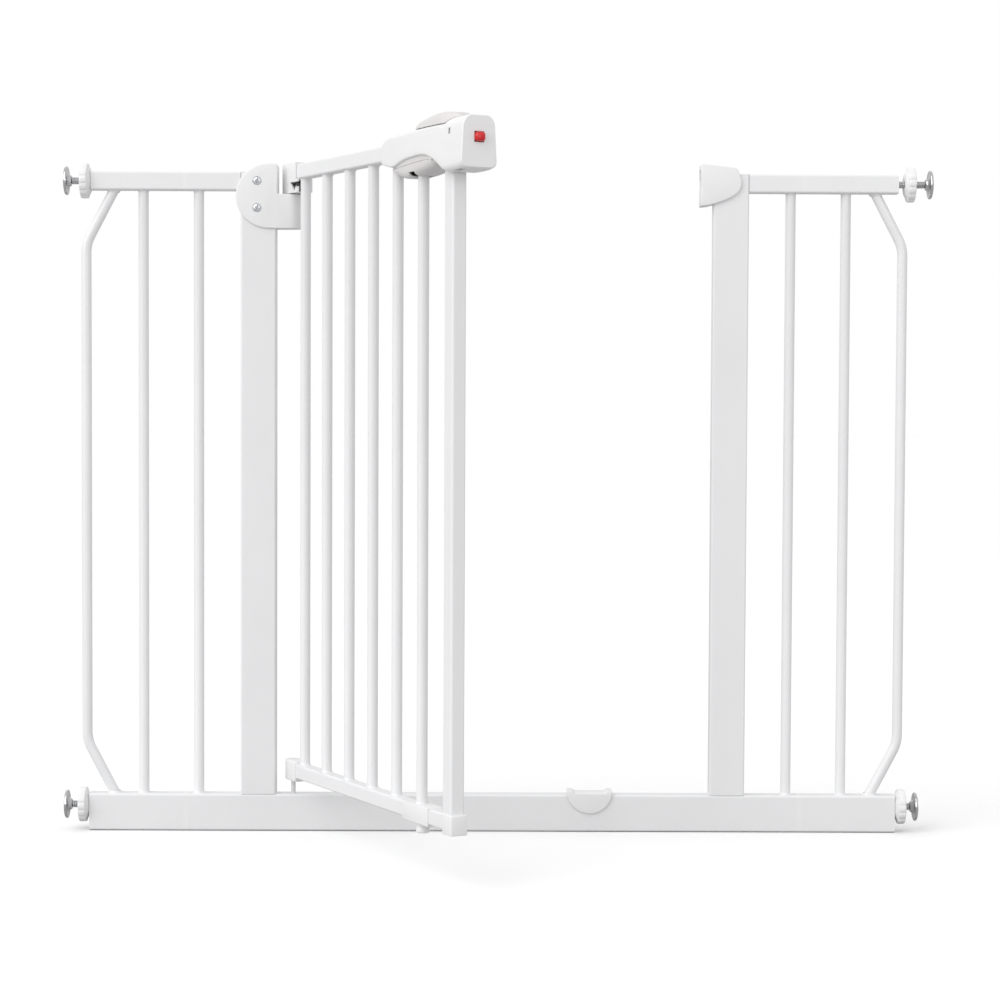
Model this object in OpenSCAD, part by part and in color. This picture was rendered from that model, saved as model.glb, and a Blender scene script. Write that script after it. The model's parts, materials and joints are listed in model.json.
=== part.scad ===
// Pressure-mounted safety baby gate: a fixed frame with two side extensions, wall spindles,
// and a barred door that swings both ways on a pin hinge and locks with a red bolt.
// Millimetres. X runs along the doorway, Y away from the viewer, Z up.
// Origin: middle of the bottom rail's underside.

/* [Doorway] */
// Clear width between the two posts
doorway_w = 473; // [468:1:480]
// Height of the fixed frame's top rails above the floor
frame_h = 716; // [710:1:780]
// How far the door stands open in the drawn position
open_angle = 62.5; // [0:0.5:90]

/* [Steel tubes] */
// Width of the two posts along the doorway
post_w = 38.5; // [36:0.5:44]
// Depth of the posts and of the bottom rail
rail_d = 20; // [18:1:22]
// Height of the bottom rail
bottom_h = 40; // [36:1:44]
// Height of the top rails
top_h = 20; // [18:1:22]
// Diameter of the upright bars
bar_dia = 11; // [10:0.5:13]
// Wall of every tube
tube_wall = 1.2; // [1:0.1:1.5]

/* [Side extensions] */
// Length of the bars' pitch beside a post
side_pitch = 60; // [56:1:64]
// Distance from a post to the joint with the extension
joint_reach = 60; // [58:1:64]
// Sideways bend of the outermost bars
bar_bend = 30; // [20:1:36]

/* [Wall spindles] */
// Diameter of the screw rods
rod_dia = 8; // [6:0.5:9]
// Diameter of the wall discs
disc_dia = 31; // [26:1:36]
// Diameter of the scalloped hand nuts
nut_dia = 38; // [34:1:42]

/* [Door] */
// Height of the door's rails
door_rail_h = 16; // [15:1:18]
// Depth of the door's rails
door_rail_d = 15; // [14:1:16]
// Pitch of the door's bars
door_pitch = 57.5; // [56:0.5:58]
// Radius from the hinge axis to the first bar
first_bar = 32; // [31:0.5:34]
// Radius from the hinge axis to the handle's end face
door_reach = 436; // [435:0.5:437]

/* [Hidden] */
$fn = 48;
half = doorway_w / 2;
outer = half + post_w;
bar_r = bar_dia / 2;
bar_lean = 27.6;
bend_r = 40;
joint_x = outer + joint_reach;
seam = 2.5;                          // half of the plastic collar seen at each joint
top_end = outer + 162;               // ends of the top rails
bottom_end = outer + 165;            // ends of the bottom rails
bar_inner = outer + 46;
bar_mid = bar_inner + side_pitch;
bar_out = bar_mid + side_pitch + 2;
top_z = frame_h - top_h / 2;
bottom_z = bottom_h / 2;
low_spindle_z = 27;
hinge_x = -half + 18.5;
door_top_z = frame_h - 1;            // middle of the door's top rail
door_low_z = 67;                     // middle of the door's bottom rail
door_rail_start = 25;                // radius where the door top rail begins
door_over = door_top_z - door_rail_h / 2;
door_under = door_low_z + door_rail_h / 2;
upright_r = first_bar + 6 * door_pitch + 11;
foot_r = first_bar + 5 * door_pitch + 2.5;
saddle_x = hinge_x + foot_r + 2;
fit = 0.05;                          // running fit of pins and rods
gap = 0.3;                           // clearance between shells
steel = [0.93, 0.93, 0.94];
plastic = [0.96, 0.96, 0.96];
metal = [0.72, 0.73, 0.75];
grey = [0.70, 0.69, 0.69];
SIDES = ["left", "right"];
CORNERS = ["top_left", "top_right", "bottom_left", "bottom_right"];
nut_off = [0.4, 7, 0.4, 0.4];        // gap between each nut and its rail end
disc_out = [29, 37, 27, 25];         // disc face beyond each rail end

// ---- shared shapes ----

// Moves a shape from the door's own frame (X = radius from the hinge) into the open position
module on_door() {
    translate([hinge_x, 0, 0]) rotate([0, 0, -open_angle]) children();
}

module rounded_rect(w, h, r) {
    square([w - 2 * r, h], center = true);
    square([w, h - 2 * r], center = true);
    for (x = [-1, 1], y = [-1, 1])
        translate([x * (w / 2 - r), y * (h / 2 - r)]) circle(r, $fn = 24);
}

module tube_profile(w, h) {
    difference() {
        rounded_rect(w, h, 2.2);
        square([w - 2 * tube_wall, h - 2 * tube_wall], center = true);
    }
}

// Rectangular tube along X from x0 to x1, at height z
module rail(x0, x1, z, h, d) {
    translate([x0, 0, z]) rotate([90, 0, 90]) linear_extrude(x1 - x0) tube_profile(d, h);
}

// Rectangular tube upright from z0 to z1
module upright(x, z0, z1, w, d) {
    translate([x, 0, z0]) linear_extrude(z1 - z0) tube_profile(w, d);
}

// Round tube upright from z0 to z1
module round_bar(x, z0, z1) {
    translate([x, 0, z0]) difference() {
        cylinder(r = bar_r, h = z1 - z0);
        translate([0, 0, -1]) cylinder(r = bar_r - tube_wall, h = z1 - z0 + 2);
    }
}

// Solid block from its lowest and highest corners
module block(a, b) {
    translate(a) cube(b - a);
}

// Side outline in X and Z, extruded from y0 to y1
module side_cut(points, y0, y1) {
    translate([0, y1, 0]) rotate([90, 0, 0]) linear_extrude(y1 - y0) polygon(points);
}

// Cylinder along Y
module y_rod(x, z, r, y0, y1) {
    translate([x, y1, z]) rotate([90, 0, 0]) cylinder(r = r, h = y1 - y0);
}

// ---- fixed frame ----

module bottom_rail() {
    color(steel) difference() {
        rail(-joint_x + seam, joint_x - seam, bottom_z, bottom_h, rail_d);
        translate([hinge_x, 0, bottom_z]) cylinder(r = 3, h = bottom_h);
    }
}

module post(x) {
    color(steel) upright(x, bottom_h, frame_h, post_w, rail_d);
}

module stub_rail() {
    color(steel) rail(outer, joint_x - seam, top_z, top_h, rail_d);
}

module ext_top_rail() {
    color(steel) rail(joint_x + seam, top_end - 2, top_z, top_h, rail_d);
}

module ext_bottom_rail() {
    color(steel) rail(joint_x + seam, bottom_end - 2, bottom_z, bottom_h, rail_d);
}

module frame_bar(x) {
    color(steel) round_bar(x, bottom_h, frame_h - top_h);
}

// Outermost bar: a round tube, upright in the middle and leaning inwards at both ends.
// Its outer and inner skins are swept along the middle line, one ring of points after another.
module bent_bar() {
    sides = 24;
    outside = bent_rings(bar_r, sides);
    inside = bent_rings(bar_r - tube_wall, sides);
    last = len(outside) - 1;
    inner = len(outside) * sides;
    top = last * sides;
    outer_walls = [for (i = [0:last - 1], k = [0:sides - 1]) let (n = (k + 1) % sides)
        [i * sides + k, (i + 1) * sides + k, (i + 1) * sides + n, i * sides + n]];
    inner_walls = [for (wall = outer_walls)
        [inner + wall[3], inner + wall[2], inner + wall[1], inner + wall[0]]];
    low_end = [for (k = [0:sides - 1]) let (n = (k + 1) % sides) [k, n, inner + n, inner + k]];
    high_end = [for (k = [0:sides - 1]) let (n = (k + 1) % sides)
        [top + n, top + k, inner + top + k, inner + top + n]];
    color(steel) polyhedron([for (ring = concat(outside, inside), p = ring) p],
                            concat(outer_walls, inner_walls, low_end, high_end));
}

// All rings of one skin of the bent bar, from the bottom rail to the top rail
function bent_rings(r, sides) =
    let (
        bends = 6,
        rise = bar_bend / tan(bar_lean) + bend_r * tan(bar_lean / 2),
        low = bottom_h + rise,
        high = frame_h - top_h - rise,
        foot_x = bar_out - bar_bend
    )
    concat(
        [end_ring(r, foot_x, bottom_h, sides)],
        [for (i = [-bends:0]) bend_ring(r, low, bar_lean * i / bends, sides)],
        [for (i = [0:bends]) bend_ring(r, high, bar_lean * i / bends, sides)],
        [end_ring(r, foot_x, frame_h - top_h, sides)]
    );

// Level ring where the leaning bar meets a rail
function end_ring(r, x, z, sides) = [for (k = [0:sides - 1])
    [x + r * cos(k * 360 / sides) / cos(bar_lean), r * sin(k * 360 / sides), z]];

// Ring of the bar at one angle of a bend
function bend_ring(r, z, turn, sides) = [for (k = [0:sides - 1])
    let (reach = bend_r + r * cos(k * 360 / sides))
    [bar_out - bend_r + reach * cos(turn), r * sin(k * 360 / sides), z + reach * sin(turn)]];

// Plastic joiner: a tongue inside both tubes and a collar that shows between them
module joiner_plug(z, h) {
    inner = tube_wall + 0.1;
    rail_box = [2 * inner, 2 * inner];
    translate([joint_x - 30, 0, z]) rotate([90, 0, 90]) linear_extrude(60)
        square([rail_d, h] - rail_box, center = true);
    translate([joint_x - seam, 0, z]) rotate([90, 0, 90]) linear_extrude(2 * seam)
        rounded_rect(rail_d, h, 2.2);
}

module joiner_plugs() {
    color(plastic) {
        joiner_plug(top_z, top_h);
        joiner_plug(bottom_z, bottom_h);
    }
}

// Plastic plug in a rail's end, bored for the wall spindle
module end_plug(x, z, h, rod_z) {
    inner = 2 * tube_wall + 0.2;
    difference() {
        union() {
            translate([x - 2, 0, z]) rotate([90, 0, 90]) linear_extrude(2)
                rounded_rect(rail_d, h, 2.2);
            translate([x - 24, 0, z]) rotate([90, 0, 90]) linear_extrude(22)
                square([rail_d - inner, h - inner], center = true);
        }
        translate([x - 30, 0, rod_z]) rotate([0, 90, 0]) cylinder(r = rod_dia / 2 + fit, h = 40);
    }
}

module end_plugs() {
    color(plastic) {
        end_plug(top_end, top_z, top_h, top_z);
        end_plug(bottom_end, bottom_z, bottom_h, low_spindle_z);
    }
}

// ---- hinge side ----

cover_d = 13;                        // half depth of the hinge cover
cover_low = frame_h - 61;
cover_mid = frame_h - 26;
cover_high = frame_h + 9;
knuckle_top = frame_h - 24;
pin_r = 4;
SCREWS = [[-half - 20.5, frame_h - 10], [-half - 20.5, frame_h - 39]];

module hinge_cover(front) {
    y0 = front ? -cover_d : 0;
    y1 = front ? 0 : cover_d;
    face_x = -half + 1.5;
    color(plastic) difference() {
        union() {
            intersection() {
                y_rod(-half - 8.5, cover_mid, 35, y0, y1);
                block([-outer - 6, y0, cover_low], [-half - 8.5, y1, cover_high]);
            }
            block([-half - 8.5, y0, cover_low], [face_x, y1, cover_high]);
            intersection() {
                translate([hinge_x - 4, 0, cover_low])
                    cylinder(r = cover_d, h = knuckle_top - cover_low);
                block([face_x - 1, y0, cover_low], [0, y1, knuckle_top]);
            }
            block([face_x - 1, y0, cover_low], [hinge_x - 4, y1, knuckle_top]);
        }
        block([-outer - 0.2, -rail_d / 2 - 0.2, 0], [-half + 0.2, rail_d / 2 + 0.2, frame_h + 1]);
        block([-outer - 20, -rail_d / 2 - 0.2, frame_h - top_h - 0.2],
              [-outer + 1, rail_d / 2 + 0.2, frame_h + 0.2]);
        translate([hinge_x, 0, cover_low + 6]) cylinder(r = pin_r, h = 60);
        for (s = SCREWS) {
            y_rod(s[0], s[1], 2, -20, 20);
            if (front) y_rod(s[0], s[1], 4.6, -cover_d - 1, -cover_d + 1.2);
        }
    }
}

// Two pan-head screws through the cover and the post
module hinge_screws() {
    color(metal) for (s = SCREWS) {
        y_rod(s[0], s[1], 2, -cover_d + 1.2, -cover_d + 2.9);
        difference() {
            y_rod(s[0], s[1], 4.5, -cover_d - 1, -cover_d + 1.2);
            for (turn = [20, 110])
                translate([s[0], -cover_d - 1, s[1]]) rotate([0, turn, 0])
                    cube([5, 1.6, 1], center = true);
        }
    }
}

module upper_hinge_pin() {
    color(metal) translate([hinge_x, 0, cover_low + 6]) cylinder(r = pin_r, h = 58);
}

// Closing spring round the pin, with one leg along the door
module torsion_spring() {
    wire = 1.4;
    turns = 7;
    color(metal) on_door() translate([0, 0, knuckle_top + 2.5]) {
        for (i = [0:turns - 1])
            translate([0, 0, i * wire * 0.95])
                rotate_extrude() translate([5.2, 0]) circle(wire / 2, $fn = 16);
        translate([0, -5.2, wire * 2]) rotate([0, 90, 0]) cylinder(r = wire / 2, h = 21);
    }
}

module lower_hinge_pin() {
    color(metal) translate([hinge_x, 0, bottom_h - tube_wall - 6]) {
        cylinder(r = 3, h = 6 + tube_wall);
        cylinder(r = 2.5, h = 34);
    }
}

// ---- latch side ----

module striker() {
    lip = half - 14;
    body_d = 13.5;
    slope = [
        [lip, 685], [lip + 14, 687.5], [lip + 26, 691.5], [lip + 36, 696.5], [lip + 41.5, 701.5],
        [lip + 44, 707], [lip + 44, 713], [lip + 41.5, 721], [lip + 39.5, 725], [lip + 36, 727],
        [lip, 731]
    ];
    lifted = [for (p = slope) [p[0], p[1] + frame_h - 720]];
    color(plastic) difference() {
        side_cut(lifted, -body_d, body_d);
        block([half, -rail_d / 2, 0], [outer + 10, rail_d / 2, frame_h]);
        block([lip - 1, -7, door_top_z - 6], [lip + 10, 7, door_top_z + 6]);
        y_rod(lip - 39, door_top_z - 18, 39.6, -20, 20);
        for (z = [-14, -30]) y_rod(half + 14, frame_h + z, 2, 0, 20);
    }
}

module striker_screws() {
    color(metal) for (z = [-14, -30]) {
        y_rod(half + 14, frame_h + z, 2, 10.2, 13.5);
        y_rod(half + 14, frame_h + z, 3.5, 13.5, 15);
    }
}

// Half-moon stop clipped over the bottom rail under the closed door's foot
module saddle_stop() {
    moon_r = 24.5;
    color(plastic) difference() {
        y_rod(saddle_x, bottom_h + 4.5, moon_r, -12.5, 12.5);
        block([saddle_x - 30, -20, bottom_h + 4.5], [saddle_x + 30, 20, bottom_h + 40]);
        block([saddle_x - 17, -20, bottom_h + 2], [saddle_x + 17, 20, bottom_h + 40]);
        block([saddle_x - 30, -rail_d / 2, -1], [saddle_x + 30, rail_d / 2, bottom_h]);
    }
}

// ---- wall spindles ----

module place_corner(i) {
    x = i < 2 ? top_end : bottom_end;
    z = i < 2 ? top_z : low_spindle_z;
    mirror([i % 2 == 0 ? 1 : 0, 0, 0]) translate([x, 0, z]) rotate([0, 90, 0]) children();
}

// Hand nut: ten shallow scallops round the rim and a tapered hub on the rail's side
module knob_nut(i) {
    scallops = 10;
    color(plastic) place_corner(i) translate([0, 0, nut_off[i]]) difference() {
        union() {
            cylinder(r1 = 11, r2 = 15, h = 3);
            translate([0, 0, 3]) cylinder(r = nut_dia / 2, h = 8);
        }
        translate([0, 0, -1]) cylinder(r = rod_dia / 2 + fit, h = 20);
        for (k = [0:scallops - 1])
            rotate(k * 360 / scallops) translate([nut_dia / 2 + 3, 0, -1]) cylinder(r = 4.5, h = 20);
    }
}

// Screw rod with its wall disc; the rod runs back into the rail
module spindle(i) {
    reach = disc_out[i];
    disc_r = disc_dia / 2;
    color(metal) place_corner(i) {
        translate([0, 0, -45]) cylinder(r = rod_dia / 2, h = 45 + reach - 4);
        translate([0, 0, reach - 5]) rotate_extrude()
            polygon([[0, 0], [8, 0], [10, 2], [disc_r, 3], [disc_r, 5], [0, 5]]);
    }
}

// ---- door ----

module door_top_rail() {
    color(steel) on_door() rail(door_rail_start, 366, door_top_z, door_rail_h, door_rail_d);
}

module door_bottom_rail() {
    color(steel) on_door() difference() {
        rail(24, upright_r + 9, door_low_z, door_rail_h, door_rail_d);
        translate([foot_r, 0, door_low_z - 10]) cylinder(r = 6.08, h = 8);
    }
}

module door_bar(i) {
    color(steel) on_door() round_bar(first_bar + i * door_pitch, door_under, door_over);
}

module door_end_upright() {
    color(steel) on_door() upright(upright_r, door_under, door_over, 18, door_rail_d);
}

// Plastic cap on the hinge end of the top rail, with a V-shaped window onto the spring
module upper_hinge_cap() {
    low = knuckle_top + 0.8;
    high = frame_h + 9;
    d = 8.8;
    cheek_end = 29.5;
    tongue = [door_rail_d - 2 * tube_wall - 0.2, door_rail_h - 2 * tube_wall - 0.2];
    color(plastic) on_door() difference() {
        union() {
            intersection() {
                union() {
                    block([-11.5, -d, low], [door_rail_start - 0.3, d, high]);
                    block([-11.5, -d, low], [cheek_end, d, door_over - 0.2]);
                }
                translate([0, 0, low]) linear_extrude(high - low) {
                    circle(14.4);
                    translate([0, -d]) square([30, 2 * d]);
                }
            }
            translate([door_rail_start - 1, 0, door_top_z]) rotate([90, 0, 90]) linear_extrude(18)
                square(tongue, center = true);
        }
        translate([0, 0, low - 1]) cylinder(r = pin_r + fit, h = 40);
        translate([0, 0, low - 1]) cylinder(r = 6.6, h = 14.5);
        block([0, -6.6, low + 1.2], [cheek_end + 1, 6.6, low + 13.5]);
        block([22, -6.6, low - 1], [cheek_end + 1, 6.6, low + 2]);
        side_cut([[9.5, low + 11.4], [19.5, low + 1.3], [cheek_end + 2, low + 7.3],
                  [cheek_end + 2, low + 11.4]], -20, -5);
    }
}

// Plastic foot of the hinge end, turning on the lower pin
module lower_hinge_cap() {
    low = door_low_z - 11.5;
    high = door_low_z + 10.5;
    d = 8.8;
    tongue = [door_rail_d - 2 * tube_wall - 0.2, door_rail_h - 2 * tube_wall - 0.2];
    color(plastic) on_door() difference() {
        union() {
            translate([0, 0, low]) linear_extrude(high - low) {
                circle(d);
                translate([0, -d]) square([24, 2 * d]);
            }
            translate([24, 0, door_low_z]) rotate([90, 0, 90]) linear_extrude(16)
                square(tongue, center = true);
        }
        translate([0, 0, low - 1]) cylinder(r = 2.5 + fit, h = 18);
    }
}

module bottom_end_cap() {
    end = upright_r + 9;
    color(plastic) on_door() difference() {
        block([end - 16, -8.7, door_low_z - 11], [end + 2.5, 8.7, door_low_z + 8.5]);
        block([end - 20, -door_rail_d / 2, door_low_z - 8], [end, door_rail_d / 2, door_low_z + 20]);
    }
}

module foot_sleeve() {
    color(plastic) on_door() difference() {
        block([foot_r - 28, -9.2, door_low_z - 9.7], [foot_r + 28, 9.2, door_under]);
        block([foot_r - 30, -door_rail_d / 2, door_low_z - 8],
              [foot_r + 30, door_rail_d / 2, door_under + 1]);
        translate([foot_r, 0, 50]) cylinder(r = 6.08, h = 20);
    }
}

module stop_foot() {
    tip_z = door_low_z - 19.7;
    color(plastic) on_door() difference() {
        union() {
            translate([foot_r, 0, tip_z]) cylinder(r1 = 6, r2 = 6.8, h = 1);
            translate([foot_r, 0, tip_z + 1]) cylinder(r = 6.8, h = 4.2);
            translate([foot_r, 0, tip_z + 1]) cylinder(r = 6, h = 20);
        }
        translate([foot_r, 0, 58]) cylinder(r = 4, h = 20);
    }
}

// Simple closed coil drawn as stacked rings
module coil(r, wire, length) {
    rings = floor(length / wire / 0.95);
    for (i = [0:rings - 1])
        translate([0, 0, wire / 2 + i * wire * 0.95])
            rotate_extrude() translate([r - wire / 2, 0]) circle(wire / 2, $fn = 12);
}

module foot_spring() {
    color(metal) on_door() translate([foot_r, 0, 58]) coil(3.4, 1, door_under - tube_wall - 58.1);
}

// ---- handle ----

handle_start = 244;
side_r = 18.75;                      // half depth of the handle at its end
arm_z = frame_h + 14.4;              // top of the handle's low part
end_z = frame_h + 19.5;              // top of the handle's end
base_z = frame_h - 28;               // underside of the handle's end
lever_pivot = [370, base_z + 12];

// Half depths of the handle along the door, less a wall
function plan(wall) = [
    [handle_start, 11 - wall], [270, 12.8 - wall], [300, 15 - wall],
    [330, 17.5 - wall], [355, side_r - wall], [door_reach, side_r - wall]
];
function mirrored(p) = [for (i = [len(p) - 1:-1:0]) [p[i][0], -p[i][1]]];

module plan_cut(wall, z0, z1) {
    translate([0, 0, z0]) linear_extrude(z1 - z0) polygon(concat(plan(wall), mirrored(plan(wall))));
}

// D-shaped cross-section with round top corners, along the door
module end_cut(wall, corner, top) {
    w = side_r - wall;
    r = corner - wall;
    translate([handle_start - 1, 0, 0]) rotate([90, 0, 90]) linear_extrude(door_reach) {
        translate([-w, base_z - 10]) square([2 * w, top - wall - r - base_z + 10]);
        translate([r - w, base_z - 10]) square([2 * (w - r), top - wall - base_z + 10]);
        for (s = [-1, 1]) translate([s * (w - r), top - wall - r]) circle(r);
    }
}

module handle_shell() {
    arch = [
        [400, base_z - 3], [394, base_z], [381, base_z + 8], [366, base_z + 13.7],
        [354, base_z + 16.2], [338, base_z + 16.8], [307, base_z + 15.7],
        [292, base_z + 13.6], [278, base_z + 11], [268, base_z + 11.3], [258, base_z + 13]
    ];
    outline = concat(
        [[handle_start, base_z + 16], [handle_start, arm_z - 3], [handle_start + 3, arm_z],
         [389, arm_z], [396, arm_z + 2], [404, end_z], [door_reach, end_z],
         [door_reach, base_z + 1], [door_reach - 6, base_z - 3]],
        arch
    );
    wall = 2.4;
    color(plastic) on_door() difference() {
        intersection() {
            side_cut(outline, -side_r, side_r);
            plan_cut(0, base_z - 5, end_z + 5);
            end_cut(0, 14, end_z);
        }
        intersection() {
            side_cut([[handle_start + wall, base_z - 10], [handle_start + wall, arm_z - wall],
                      [392, arm_z - wall], [406, end_z - wall], [door_reach - wall, end_z - wall],
                      [door_reach - wall, base_z + wall], [400, base_z + wall], [396, base_z - 10]],
                     -side_r, side_r);
            plan_cut(wall, base_z - 12, end_z + 5);
            end_cut(wall, 14, end_z);
        }
        block([200, -7.6, door_over - 0.1], [handle_start + 5, 7.6, door_over + door_rail_h + 0.1]);
        block([upright_r - 9.1, -7.6, 600], [upright_r + 9.1, 7.6, door_over + 1]);
        block([door_reach - 5, -5, door_top_z - 5], [door_reach + 1, 5, door_top_z + 5]);
        block([335, -4.2, arm_z - 4], [353.2, 4.2, arm_z + 1]);
        block([406.8, -20, door_top_z + 4.4], [410.4, -10, door_top_z + 10]);
        block([417, -13, base_z - 4], [427, -9.5, base_z + 3]);
        side_cut(back_outline(gap), side_r - 2.45, side_r + 1);
        y_rod(lever_pivot[0], lever_pivot[1], 2, -side_r + 1, side_r - 1);
    }
    color(plastic) on_door() block([367, -7.4, door_over + 0.5], [369, 7.4, arm_z - 2]);
}

// Outline of the plate that closes the handle's back
function back_outline(edge) = [
    [358 - edge, base_z + 19 - edge], [358 - edge, base_z + 32 + edge],
    [430 + edge, base_z + 32 + edge], [430 + edge, base_z + 4 - edge],
    [400 - edge, base_z + 4 - edge], [386 - edge, base_z + 10 - edge]
];
COVER_SCREWS = [[364, base_z + 25.5], [424, base_z + 26], [424, base_z + 10]];

module handle_back_cover() {
    color(plastic) on_door() difference() {
        side_cut(back_outline(0), side_r - 2.4, side_r);
        for (s = COVER_SCREWS) {
            y_rod(s[0], s[1], 1.5, 10, 20);
            y_rod(s[0], s[1], 3, side_r - 1.2, side_r + 1);
        }
    }
}

module handle_screws() {
    color(metal) on_door() for (s = COVER_SCREWS) {
        y_rod(s[0], s[1], 1.5, side_r - 9, side_r - 1.2);
        y_rod(s[0], s[1], 2.9, side_r - 1.2, side_r - 0.2);
    }
}

module lever_pin() {
    color(metal) on_door()
        y_rod(lever_pivot[0], lever_pivot[1], 2, -side_r + 1, side_r - 1);
}

module bolt_spring() {
    color(metal) on_door() translate([369, 0, door_top_z]) rotate([0, 90, 0]) coil(2.4, 0.8, 16);
}

module thumb_slide() {
    low = arm_z + 0.6;
    crest = [
        [330, low], [330, low + 5], [340, low + 8.4], [352, low + 10.2], [368, low + 11.9],
        [384, low + 12.5], [396, low + 11.7], [404, low + 9.9], [409, end_z + 2],
        [409, end_z + 0.6], [404, end_z + 0.6], [396, arm_z + 2.6], [389, low]
    ];
    color(grey) on_door() {
        intersection() {
            side_cut(crest, -side_r, side_r);
            plan_cut(1.5, low - 1, low + 20);
            end_cut(1.5, 14, low + 13);
        }
        block([345, -4, arm_z - 5.5], [352, 4, low + 1]);
    }
}

module squeeze_lever() {
    outer_side = [
        [271, 9], [272, 6], [284, 0.8], [293, -1.2], [302, -2], [318, -1.7], [341, 0.3],
        [354, 1.9], [368, 4.4], [376, 9], [376, 16], [366, 16], [354, 15.5], [320, 13.5]
    ];
    inner_side = [
        [273, 28], [273, 7.4], [285, 2.6], [294, 0.7], [302, 0], [318, 0.3], [341, 2.2],
        [354, 3.8], [364, 7], [364, 28]
    ];
    wall = 2.9;
    color(grey) on_door() difference() {
        intersection() {
            translate([0, 0, base_z]) side_cut(outer_side, -side_r, side_r);
            plan_cut(wall, base_z - 12, base_z + 28);
        }
        intersection() {
            translate([0, 0, base_z]) side_cut(inner_side, -side_r, side_r);
            plan_cut(wall + 1.6, base_z - 12, base_z + 38);
        }
        block([311.5, -7.3, base_z - 12], [327.5, 7.3, base_z + 8]);
        y_rod(lever_pivot[0], lever_pivot[1], 2 + fit, -side_r, side_r);
    }
}

// Square red bolt with a slightly bevelled tip, bored at the back for its spring
module latch_bolt() {
    size = 9.6;
    color("red") on_door() difference() {
        union() {
            translate([376, -size / 2, door_top_z - size / 2]) cube([64, size, size]);
            translate([440, -size / 2 + 0.6, door_top_z - size / 2 + 0.6])
                cube([1, size - 1.2, size - 1.2]);
        }
        translate([375, 0, door_top_z]) rotate([0, 90, 0]) cylinder(r = 2.6, h = 17);
    }
}

bottom_rail();
post(-half - post_w / 2);  // hinge_post
post(half + post_w / 2);  // latch_post
for (i = [0, 1]) mirror([1 - i, 0, 0]) {
    stub_rail();
    frame_bar(bar_inner);
    ext_top_rail();
    ext_bottom_rail();
    frame_bar(bar_mid);
    bent_bar();
    joiner_plugs();
    end_plugs();
}
hinge_cover(true);  // hinge_cover_front
hinge_cover(false);  // hinge_cover_rear
hinge_screws();
upper_hinge_pin();
torsion_spring();
lower_hinge_pin();
striker();
striker_screws();
saddle_stop();
door_top_rail();
door_bottom_rail();
for (i = [0:5])
    door_bar(i);
door_end_upright();
upper_hinge_cap();
lower_hinge_cap();
bottom_end_cap();
foot_sleeve();
handle_shell();
handle_back_cover();
handle_screws();
lever_pin();
bolt_spring();
foot_spring();
thumb_slide();
squeeze_lever();
latch_bolt();
stop_foot();
for (i = [0:3]) {
    knob_nut(i);
    spindle(i);
}
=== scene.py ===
import json
import math
import bpy
from mathutils import Matrix, Vector


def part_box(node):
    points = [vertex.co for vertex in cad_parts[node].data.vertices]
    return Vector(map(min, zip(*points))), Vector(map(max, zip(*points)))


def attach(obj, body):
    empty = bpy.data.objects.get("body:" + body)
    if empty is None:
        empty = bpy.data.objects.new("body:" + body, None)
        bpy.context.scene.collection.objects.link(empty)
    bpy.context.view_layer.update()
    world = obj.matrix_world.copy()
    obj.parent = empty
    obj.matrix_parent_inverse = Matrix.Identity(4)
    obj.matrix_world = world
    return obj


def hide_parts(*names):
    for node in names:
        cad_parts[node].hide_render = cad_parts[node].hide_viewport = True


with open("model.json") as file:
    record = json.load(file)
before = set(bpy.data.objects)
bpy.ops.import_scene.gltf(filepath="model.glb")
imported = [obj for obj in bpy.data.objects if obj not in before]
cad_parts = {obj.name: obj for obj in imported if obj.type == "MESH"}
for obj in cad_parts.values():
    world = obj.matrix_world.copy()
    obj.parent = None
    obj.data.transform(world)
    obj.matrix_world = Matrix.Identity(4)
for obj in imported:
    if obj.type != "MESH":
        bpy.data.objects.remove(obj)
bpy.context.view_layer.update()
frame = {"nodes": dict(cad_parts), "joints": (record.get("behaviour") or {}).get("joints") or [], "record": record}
mm = 0.001
weldGap = 0.01
joints = {joint["name"]: joint for joint in frame["joints"]}
hinge = Vector(joints["gate_swing"]["pos_m"])
hinge.z = 0
towardsHinge = joints["thumb_slide_travel"]["axis"]
doorTurn = math.atan2(-towardsHinge[1], -towardsHinge[0])
doorPlace = Matrix.Translation(hinge) @ Matrix.Rotation(doorTurn, 4, "Z")
print("frame loaded:", len(frame["nodes"]), "nodes")


# small tools

def nothingSelected():
    bpy.ops.object.select_all(action="DESELECT")


def onlySelected(piece):
    nothingSelected()
    piece.select_set(True)
    bpy.context.view_layer.objects.active = piece


def applyPlace(piece):
    onlySelected(piece)
    bpy.ops.object.transform_apply(location=True, rotation=True, scale=True)


def applyModifiers(piece):
    onlySelected(piece)
    for modifier in list(piece.modifiers):
        bpy.ops.object.modifier_apply(modifier=modifier.name)


def inEditMode(piece):
    onlySelected(piece)
    bpy.ops.object.mode_set(mode="EDIT")
    bpy.ops.mesh.select_mode(type="VERT")
    bpy.ops.mesh.select_all(action="SELECT")


def outOfEditMode():
    bpy.ops.object.mode_set(mode="OBJECT")


def drawLine(name, points):
    # one vertex is drawn along the points, given in millimetres
    corners = [Vector(point) * mm for point in points]
    nothingSelected()
    bpy.ops.mesh.primitive_plane_add(size=mm, location=corners[0])
    piece = bpy.context.object
    piece.name = name
    inEditMode(piece)
    bpy.ops.mesh.merge(type="CENTER")
    for start, end in zip(corners, corners[1:]):
        bpy.ops.mesh.extrude_vertices_move(TRANSFORM_OT_translate={"value": end - start})
    outOfEditMode()
    applyPlace(piece)
    return piece


def tidyNormals(piece):
    inEditMode(piece)
    bpy.ops.mesh.remove_doubles(threshold=weldGap * mm)
    bpy.ops.mesh.normals_make_consistent(inside=False)
    outOfEditMode()


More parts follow.
